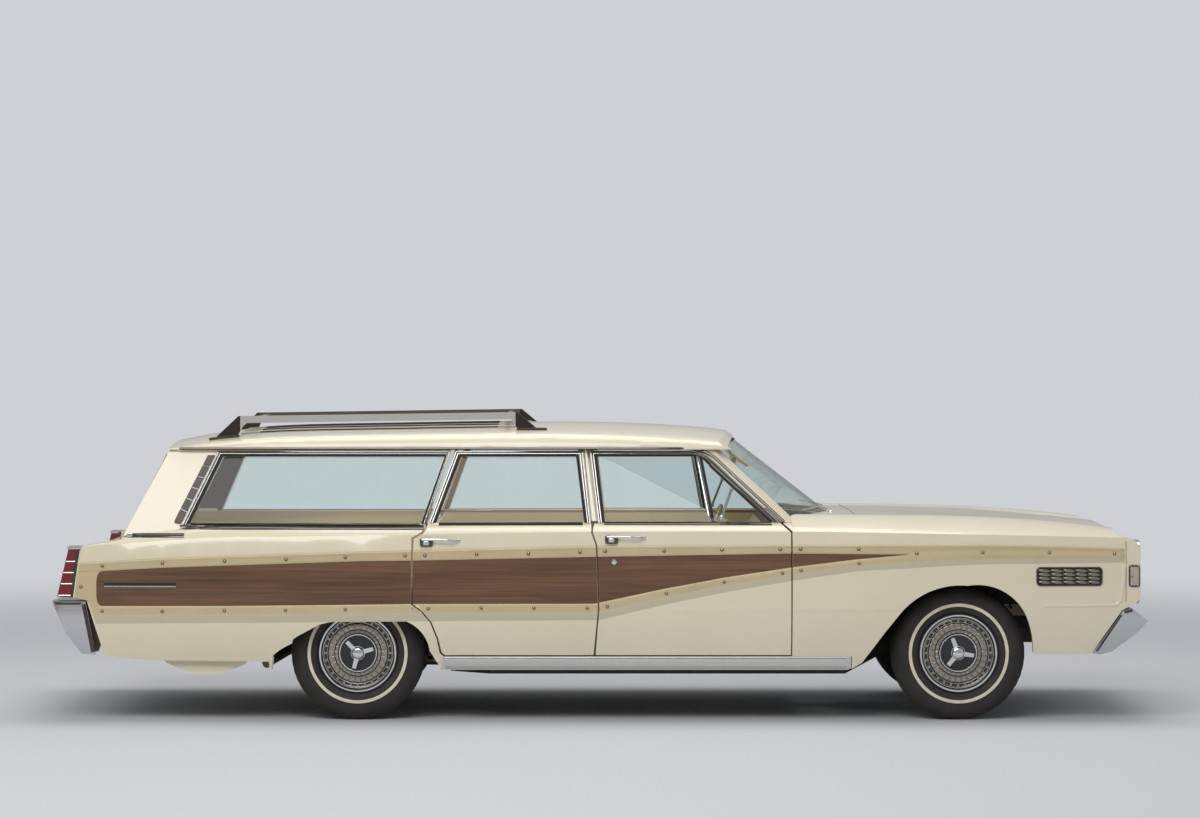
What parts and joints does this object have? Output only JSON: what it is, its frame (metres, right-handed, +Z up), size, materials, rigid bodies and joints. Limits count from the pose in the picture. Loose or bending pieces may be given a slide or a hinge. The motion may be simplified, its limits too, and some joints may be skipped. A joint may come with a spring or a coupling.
{
  "type": "station wagon",
  "caption": "Full-size 1960s station wagon with simulated wood side panels, roof rack, opening doors, hood and tailgate, and steering front wheels.",
  "frame": {"origin": "on the ground, at the middle of the car's length and width", "axes": "+X towards the front bumper, +Y towards the car's left side, +Z up"},
  "size_m": [5.504, 2.0152, 1.545],
  "materials": {
    "body_paint": "gloss",
    "inner_paint": "satin",
    "bright_metal": "polished",
    "satin_trim": "satin",
    "wheel_cover": "polished",
    "black_steel": "satin",
    "exhaust_steel": "dull",
    "iron": "rough",
    "window_glass": "clear",
    "lamp_clear": "clear",
    "lamp_red": "gloss",
    "vinyl": "satin",
    "dash_plastic": "matte",
    "tyre": "matte"
  },
  "bodies": {
    "car_body": {"cargo_glass": "window_glass", "chassis_frame": "black_steel", "cowl_pillars": "body_paint", "dashboard": "dash_plastic", "engine_block": "iron", "exhaust": "exhaust_steel", "floor_pan": "inner_paint", "front_bumper": "bright_metal", "front_fenders": "body_paint", "front_suspension": "black_steel", "fuel_tank": "exhaust_steel", "grille": "bright_metal", "head_lamps": "lamp_clear", "inner_fenders": "black_steel", "load_floor": "inner_paint", "quarter_panels": "body_paint", "rear_axle": "black_steel", "rear_bumper": "bright_metal", "rockers": "satin_trim", "roof": "body_paint", "roof_rack": "satin_trim", "seats": "vinyl", "steering_wheel": "dash_plastic", "tail_lamps": "lamp_red", "windscreen": "window_glass"},
    "door_front_left": {"front_door_left": "body_paint", "front_door_left_glass": "window_glass"},
    "door_front_right": {"front_door_right": "body_paint", "front_door_right_glass": "window_glass"},
    "door_rear_left": {"rear_door_left": "body_paint", "rear_door_left_glass": "window_glass"},
    "door_rear_right": {"rear_door_right": "body_paint", "rear_door_right_glass": "window_glass"},
    "hood_lid": {"hood": "body_paint"},
    "gate": {"tailgate": "body_paint"},
    "steer_left": {"knuckle_left": "iron"},
    "steer_right": {"knuckle_right": "iron"},
    "road_wheel_front_left": {"wheel_front_left": "wheel_cover", "tyre_front_left": "tyre"},
    "road_wheel_front_right": {"wheel_front_right": "wheel_cover", "tyre_front_right": "tyre"},
    "road_wheel_rear_left": {"wheel_rear_left": "wheel_cover", "tyre_rear_left": "tyre"},
    "road_wheel_rear_right": {"wheel_rear_right": "wheel_cover", "tyre_rear_right": "tyre"}
  },
  "joints": [
    {"name": "front_door_left_hinge", "type": "hinge", "parent": "car_body", "child": "door_front_left", "pos_m": [0.962, 1.012, 0.66], "axis": [0, 0, -1], "range_deg": [0, 65]},
    {"name": "front_door_right_hinge", "type": "hinge", "parent": "car_body", "child": "door_front_right", "pos_m": [0.962, -1.012, 0.66], "axis": [0, 0, 1], "range_deg": [0, 65]},
    {"name": "rear_door_left_hinge", "type": "hinge", "parent": "car_body", "child": "door_rear_left", "pos_m": [-0.005, 1.012, 0.66], "axis": [0, 0, -1], "range_deg": [0, 65]},
    {"name": "rear_door_right_hinge", "type": "hinge", "parent": "car_body", "child": "door_rear_right", "pos_m": [-0.005, -1.012, 0.66], "axis": [0, 0, 1], "range_deg": [0, 65]},
    {"name": "hood_hinge", "type": "hinge", "parent": "car_body", "child": "hood_lid", "pos_m": [1.303, 0, 1.04], "axis": [0, -1, 0], "range_deg": [0, 55]},
    {"name": "tailgate_hinge", "type": "hinge", "parent": "car_body", "child": "gate", "pos_m": [-2.628, 0, 0.622], "axis": [0, -1, 0], "range_deg": [0, 90]},
    {"name": "steer_right_pivot", "type": "hinge", "parent": "car_body", "child": "steer_right", "pos_m": [1.804, -0.694, 0.336], "axis": [0, 0, 1], "range_deg": [-30, 30]},
    {"name": "steer_left_pivot", "type": "hinge", "parent": "car_body", "child": "steer_left", "pos_m": [1.804, 0.694, 0.336], "axis": [0, 0, 1], "range_deg": [-30, 30]},
    {"name": "wheel_front_left_spin", "type": "hinge", "parent": "steer_left", "child": "road_wheel_front_left", "pos_m": [1.804, 0.787, 0.336], "axis": [0, 1, 0], "continuous": true},
    {"name": "wheel_front_right_spin", "type": "hinge", "parent": "steer_right", "child": "road_wheel_front_right", "pos_m": [1.804, -0.787, 0.336], "axis": [0, 1, 0], "continuous": true},
    {"name": "wheel_rear_left_spin", "type": "hinge", "parent": "car_body", "child": "road_wheel_rear_left", "pos_m": [-1.219, 0.787, 0.336], "axis": [0, 1, 0], "continuous": true},
    {"name": "wheel_rear_right_spin", "type": "hinge", "parent": "car_body", "child": "road_wheel_rear_right", "pos_m": [-1.219, -0.787, 0.336], "axis": [0, 1, 0], "continuous": true}
  ],
  "couplings": [
    {"joint": "steer_left_pivot", "follows": "steer_right_pivot", "ratio": 1}
  ]
}
